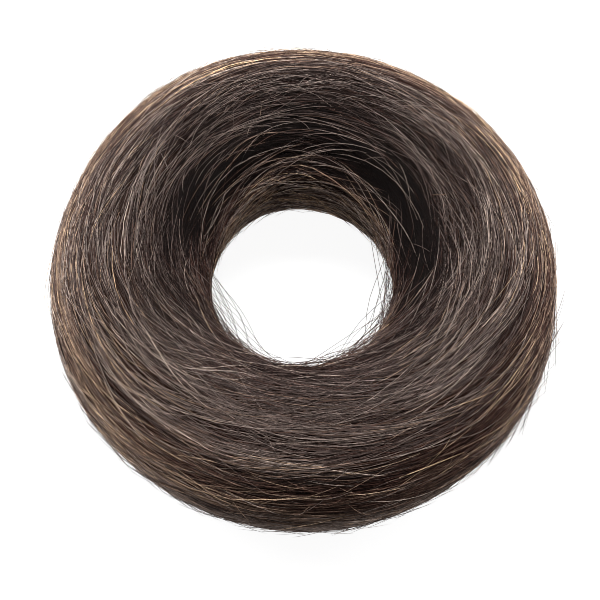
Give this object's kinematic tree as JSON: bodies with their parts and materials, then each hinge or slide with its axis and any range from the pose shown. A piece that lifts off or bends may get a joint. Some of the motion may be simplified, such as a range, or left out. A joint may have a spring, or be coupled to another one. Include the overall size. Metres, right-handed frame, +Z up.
{
  "type": "top knot hairpiece",
  "caption": "Ring of straight dark brown hair, wound in coils round an elastic band, worn round a bun or ponytail to fill it out.",
  "frame": {"origin": "on the surface that the ring rests on, under the middle of its bounding box", "axes": "+Z up through the hole, -Y towards the viewer of the picture, +X to that viewer's right"},
  "size_m": [0.1301, 0.129, 0.0404],
  "materials": {
    "hair": "smooth straight hair with a soft sheen, dark brown with warm brown edges",
    "hair_inner": "smooth straight hair, a little warmer and deeper brown",
    "elastic": "matt black thread-covered elastic"
  },
  "bodies": {
    "root": {"top_coil": "hair", "outer_coil": "hair", "inner_coil": "hair_inner", "elastic_band": "elastic"}
  },
  "joints": []
}
